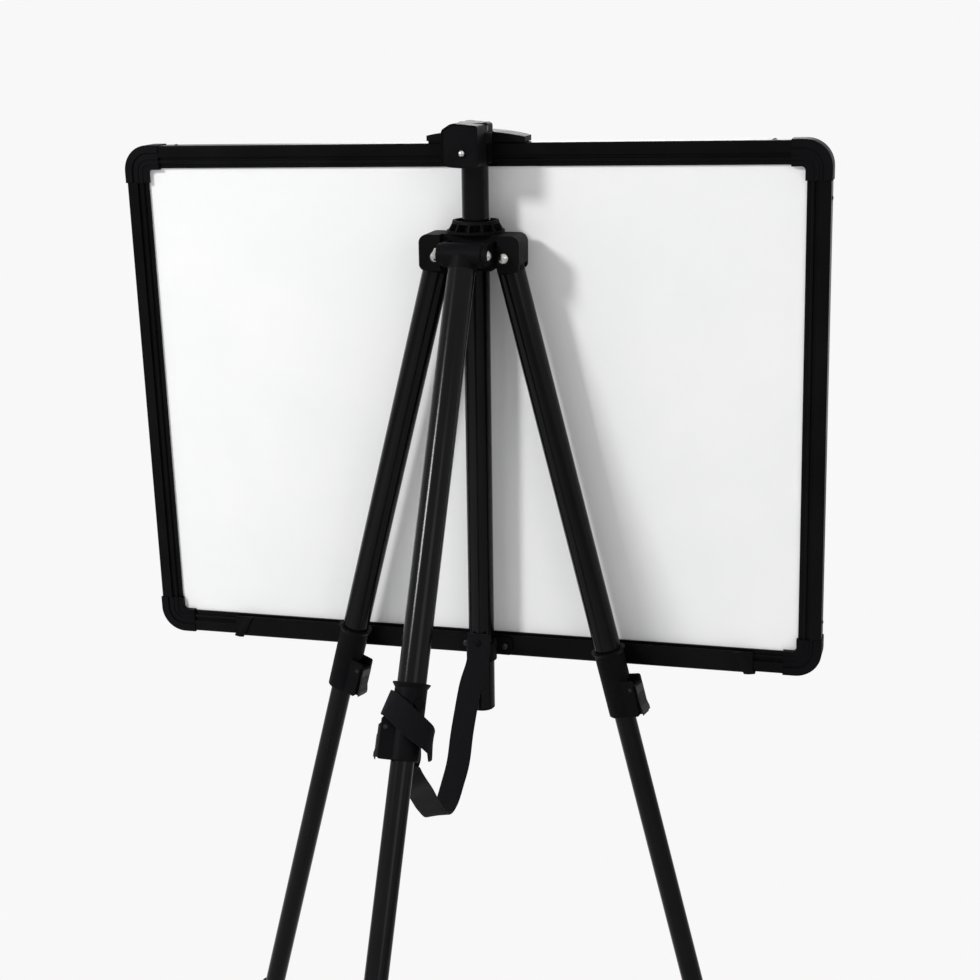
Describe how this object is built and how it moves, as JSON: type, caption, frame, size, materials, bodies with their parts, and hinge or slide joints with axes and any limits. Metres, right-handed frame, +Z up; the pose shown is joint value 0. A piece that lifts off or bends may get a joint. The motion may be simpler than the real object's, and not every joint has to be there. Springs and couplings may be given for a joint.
{
  "type": "tactics_board_stand",
  "caption": "Magnetic tactics whiteboard in a black aluminium frame with a pen tray, clamped to the mast of a folding tripod with two-stage telescopic legs and lever locks.",
  "frame": {"origin": "centre of the bounding box on the floor", "axes": "+Z up; -Y is the playing side of the board; +Y is the rear side, where the rear leg stands; +X is to the left as seen from behind"},
  "size_m": [0.6302, 0.5508, 1.1579],
  "materials": {
    "white_steel": "smooth",
    "core": "matte",
    "anodised_black": "satin anodised",
    "black_plastic": "matte",
    "black_steel": "satin",
    "bright_steel": "satin",
    "black_tube": "satin",
    "rubber": "matte",
    "webbing": "woven"
  },
  "bodies": {
    "stand": {"back_sheet": "white_steel", "board_core": "core", "bracket_screws": "black_steel", "corner_cap_bottom_left": "black_plastic", "corner_cap_bottom_right": "black_plastic", "corner_cap_top_left": "black_plastic", "corner_cap_top_right": "black_plastic", "corner_screws": "black_steel", "frame_bottom": "anodised_black", "frame_left": "anodised_black", "frame_right": "anodised_black", "frame_top": "anodised_black", "front_sheet": "white_steel", "hub_body": "black_plastic", "mast_bracket": "black_plastic", "mast_collar": "black_plastic", "mast_plugs": "black_plastic", "mast_tube": "black_tube", "pen_tray": "anodised_black", "pivot_bolts": "bright_steel", "pivot_nuts": "bright_steel", "strap_rivet": "black_steel", "tie_strap": "webbing", "tray_ends": "black_plastic"},
    "top_clamp": {"clamp_block": "black_plastic", "top_hook": "black_plastic", "clamp_screw": "bright_steel"},
    "left_leg_upper_section": {"left_leg_head": "black_plastic", "left_leg_upper_tube": "black_tube", "left_leg_upper_lock": "black_plastic"},
    "left_leg_upper_lock_lever": {"left_leg_upper_lever": "black_plastic"},
    "left_leg_middle_section": {"left_leg_middle_bush": "black_plastic", "left_leg_middle_tube": "black_tube", "left_leg_lower_lock": "black_plastic"},
    "left_leg_lower_lock_lever": {"left_leg_lower_lever": "black_plastic"},
    "left_leg_lower_section": {"left_leg_lower_bush": "black_plastic", "left_leg_lower_tube": "black_tube", "left_leg_foot": "rubber"},
    "right_leg_upper_section": {"right_leg_head": "black_plastic", "right_leg_upper_tube": "black_tube", "right_leg_upper_lock": "black_plastic"},
    "right_leg_upper_lock_lever": {"right_leg_upper_lever": "black_plastic"},
    "right_leg_middle_section": {"right_leg_middle_bush": "black_plastic", "right_leg_middle_tube": "black_tube", "right_leg_lower_lock": "black_plastic"},
    "right_leg_lower_lock_lever": {"right_leg_lower_lever": "black_plastic"},
    "right_leg_lower_section": {"right_leg_lower_bush": "black_plastic", "right_leg_lower_tube": "black_tube", "right_leg_foot": "rubber"},
    "rear_leg_upper_section": {"rear_leg_head": "black_plastic", "rear_leg_upper_tube": "black_tube", "rear_leg_upper_lock": "black_plastic"},
    "rear_leg_upper_lock_lever": {"rear_leg_upper_lever": "black_plastic"},
    "rear_leg_middle_section": {"rear_leg_middle_bush": "black_plastic", "rear_leg_middle_tube": "black_tube", "rear_leg_lower_lock": "black_plastic"},
    "rear_leg_lower_lock_lever": {"rear_leg_lower_lever": "black_plastic"},
    "rear_leg_lower_section": {"rear_leg_lower_bush": "black_plastic", "rear_leg_lower_tube": "black_tube", "rear_leg_foot": "rubber"}
  },
  "joints": [
    {"name": "clamp_slide", "type": "slide", "parent": "stand", "child": "top_clamp", "axis": [0, 0.1646, 0.9864], "range_m": [0, 0.025]},
    {"name": "left_leg_fold", "type": "hinge", "parent": "stand", "child": "left_leg_upper_section", "pos_m": [0.02467, -0.08994, 1.05085], "axis": [0, 0.9864, -0.1646], "range_deg": [0, 12.2]},
    {"name": "left_leg_middle_slide", "type": "slide", "parent": "left_leg_upper_section", "child": "left_leg_middle_section", "axis": [-0.2487, 0.1594, 0.9554], "range_m": [0, 0.29]},
    {"name": "left_leg_lower_slide", "type": "slide", "parent": "left_leg_middle_section", "child": "left_leg_lower_section", "axis": [-0.2487, 0.1594, 0.9554], "range_m": [0, 0.268]},
    {"name": "left_leg_upper_lever_flip", "type": "hinge", "parent": "left_leg_upper_section", "child": "left_leg_upper_lock_lever", "pos_m": [0.10284, -0.14634, 0.68704], "axis": [0.2507, 0.9633, -0.0955], "range_deg": [0, 110]},
    {"name": "left_leg_lower_lever_flip", "type": "hinge", "parent": "left_leg_middle_section", "child": "left_leg_lower_lock_lever", "pos_m": [0.20045, -0.20814, 0.31978], "axis": [0.2507, 0.9633, -0.0955], "range_deg": [0, 110]},
    {"name": "right_leg_fold", "type": "hinge", "parent": "stand", "child": "right_leg_upper_section", "pos_m": [-0.03253, -0.08994, 1.05085], "axis": [0, -0.9864, 0.1646], "range_deg": [0, 12.2]},
    {"name": "right_leg_middle_slide", "type": "slide", "parent": "right_leg_upper_section", "child": "right_leg_middle_section", "axis": [0.2487, 0.1594, 0.9554], "range_m": [0, 0.29]},
    {"name": "right_leg_lower_slide", "type": "slide", "parent": "right_leg_middle_section", "child": "right_leg_lower_section", "axis": [0.2487, 0.1594, 0.9554], "range_m": [0, 0.268]},
    {"name": "right_leg_upper_lever_flip", "type": "hinge", "parent": "right_leg_upper_section", "child": "right_leg_upper_lock_lever", "pos_m": [-0.14138, -0.14504, 0.69482], "axis": [0.2507, 0.9422, -0.2225], "range_deg": [0, 110]},
    {"name": "right_leg_lower_lever_flip", "type": "hinge", "parent": "right_leg_middle_section", "child": "right_leg_lower_lock_lever", "pos_m": [-0.23525, -0.207, 0.32661], "axis": [0.2507, 0.9422, -0.2225], "range_deg": [0, 110]},
    {"name": "rear_leg_fold", "type": "hinge", "parent": "stand", "child": "rear_leg_upper_section", "pos_m": [-0.00393, -0.06068, 1.05002], "axis": [-1, 0, 0], "range_deg": [0, 25], "deforming": ["tie_strap"]},
    {"name": "rear_leg_middle_slide", "type": "slide", "parent": "rear_leg_upper_section", "child": "rear_leg_middle_section", "axis": [0, -0.2978, 0.9546], "range_m": [0, 0.29]},
    {"name": "rear_leg_lower_slide", "type": "slide", "parent": "rear_leg_middle_section", "child": "rear_leg_lower_section", "axis": [0, -0.2978, 0.9546], "range_m": [0, 0.268]},
    {"name": "rear_leg_upper_lever_flip", "type": "hinge", "parent": "rear_leg_upper_section", "child": "rear_leg_upper_lock_lever", "pos_m": [0.01148, 0.05666, 0.69276], "axis": [0.342, -0.897, -0.2799], "range_deg": [0, 110]},
    {"name": "rear_leg_lower_lever_flip", "type": "hinge", "parent": "rear_leg_middle_section", "child": "rear_leg_lower_lock_lever", "pos_m": [0.0096, 0.17068, 0.32503], "axis": [0.342, -0.897, -0.2799], "range_deg": [0, 110]}
  ]
}
